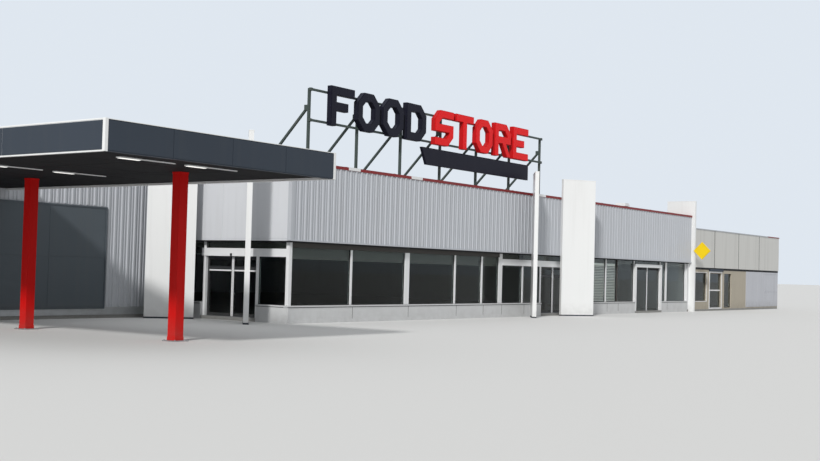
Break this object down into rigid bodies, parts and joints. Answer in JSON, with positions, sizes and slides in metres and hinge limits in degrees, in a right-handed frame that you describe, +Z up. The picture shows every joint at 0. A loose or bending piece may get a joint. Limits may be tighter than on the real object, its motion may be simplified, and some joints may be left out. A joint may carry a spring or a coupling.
{
  "type": "single-storey supermarket building, half size scale model",
  "caption": "Half-size model of a single-storey supermarket: cladding band, glazed fronts, sliding doors, blades, canopy, roof sign.",
  "frame": {"origin": "middle of the bounding box at ground level, on the underside of the hall's floor", "axes": "+X along the main glazed front to the right as seen from outside, +Y into the building, +Z up"},
  "size_m": [35.635, 20.48, 4.37],
  "materials": {
    "ribbed_cladding": "satin, trapezoidal steel sheet",
    "smooth_panel": "satin, smooth steel cassette",
    "coping_red": "satin",
    "white_metal": "satin",
    "blade_white": "satin composite panel",
    "anthracite": "satin",
    "post_red": "gloss",
    "sign_steel": "weathered paint",
    "letter_dark": "gloss",
    "letter_red": "gloss",
    "sign_yellow": "gloss",
    "shop_glass": "clear float glass",
    "low_wall": "painted render",
    "concrete": "trowelled concrete",
    "roof_sheet": "bitumen sheet with grit",
    "roof_light": "opal polycarbonate",
    "annex_panel": "satin, smooth panel",
    "annex_wall": "painted render",
    "door_frame": "powder coated"
  },
  "bodies": {
    "building": {"annex_band": "annex_panel", "annex_coping": "sign_steel", "annex_end_wall": "annex_panel", "annex_floor": "concrete", "annex_front_wall": "annex_wall", "annex_glass": "shop_glass", "annex_rear_wall": "annex_panel", "annex_roof": "roof_sheet", "canopy_deck": "anthracite", "canopy_end_panels": "white_metal", "canopy_fascia": "anthracite", "canopy_posts": "post_red", "dark_letters": "letter_dark", "diamond_sign": "sign_yellow", "door_tracks": "door_frame", "drive_board": "anthracite", "drive_wall": "ribbed_cladding", "entrance_band": "smooth_panel", "entrance_beams": "white_metal", "entrance_blades": "blade_white", "entrance_low_wall": "low_wall", "front_band": "ribbed_cladding", "front_beams": "white_metal", "front_blades": "blade_white", "front_low_wall": "low_wall", "hall_floor": "concrete", "hall_roof": "roof_sheet", "left_wall": "ribbed_cladding", "long_copings": "coping_red", "portal_frame": "white_metal", "rear_wall": "ribbed_cladding", "red_letters": "letter_red", "right_wall": "ribbed_cladding", "roof_lights": "roof_light", "shop_glass": "shop_glass", "shopfront_posts": "white_metal", "side_copings": "coping_red", "sign_braces": "sign_steel", "sign_plate": "anthracite", "sign_posts": "sign_steel", "sign_rails": "sign_steel", "wing_floor": "concrete", "wing_roof": "roof_sheet"},
    "front_door_left": {"front_door_left": "door_frame", "front_door_left_glass": "shop_glass"},
    "front_door_right": {"front_door_right": "door_frame", "front_door_right_glass": "shop_glass"},
    "entrance_door_left": {"entrance_door_left": "door_frame", "entrance_door_left_glass": "shop_glass"},
    "entrance_door_right": {"entrance_door_right": "door_frame", "entrance_door_right_glass": "shop_glass"}
  },
  "joints": [
    {"name": "front_door_left_slide", "type": "slide", "parent": "building", "child": "front_door_left", "axis": [-1, 0, 0], "range_m": [0, 0.66]},
    {"name": "front_door_right_slide", "type": "slide", "parent": "building", "child": "front_door_right", "axis": [1, 0, 0], "range_m": [0, 0.66]},
    {"name": "entrance_door_left_slide", "type": "slide", "parent": "building", "child": "entrance_door_left", "axis": [0, 1, 0], "range_m": [0, 0.61]},
    {"name": "entrance_door_right_slide", "type": "slide", "parent": "building", "child": "entrance_door_right", "axis": [0, -1, 0], "range_m": [0, 0.61]}
  ],
  "couplings": [
    {"joint": "front_door_right_slide", "follows": "front_door_left_slide", "ratio": 1},
    {"joint": "entrance_door_right_slide", "follows": "entrance_door_left_slide", "ratio": 1}
  ]
}
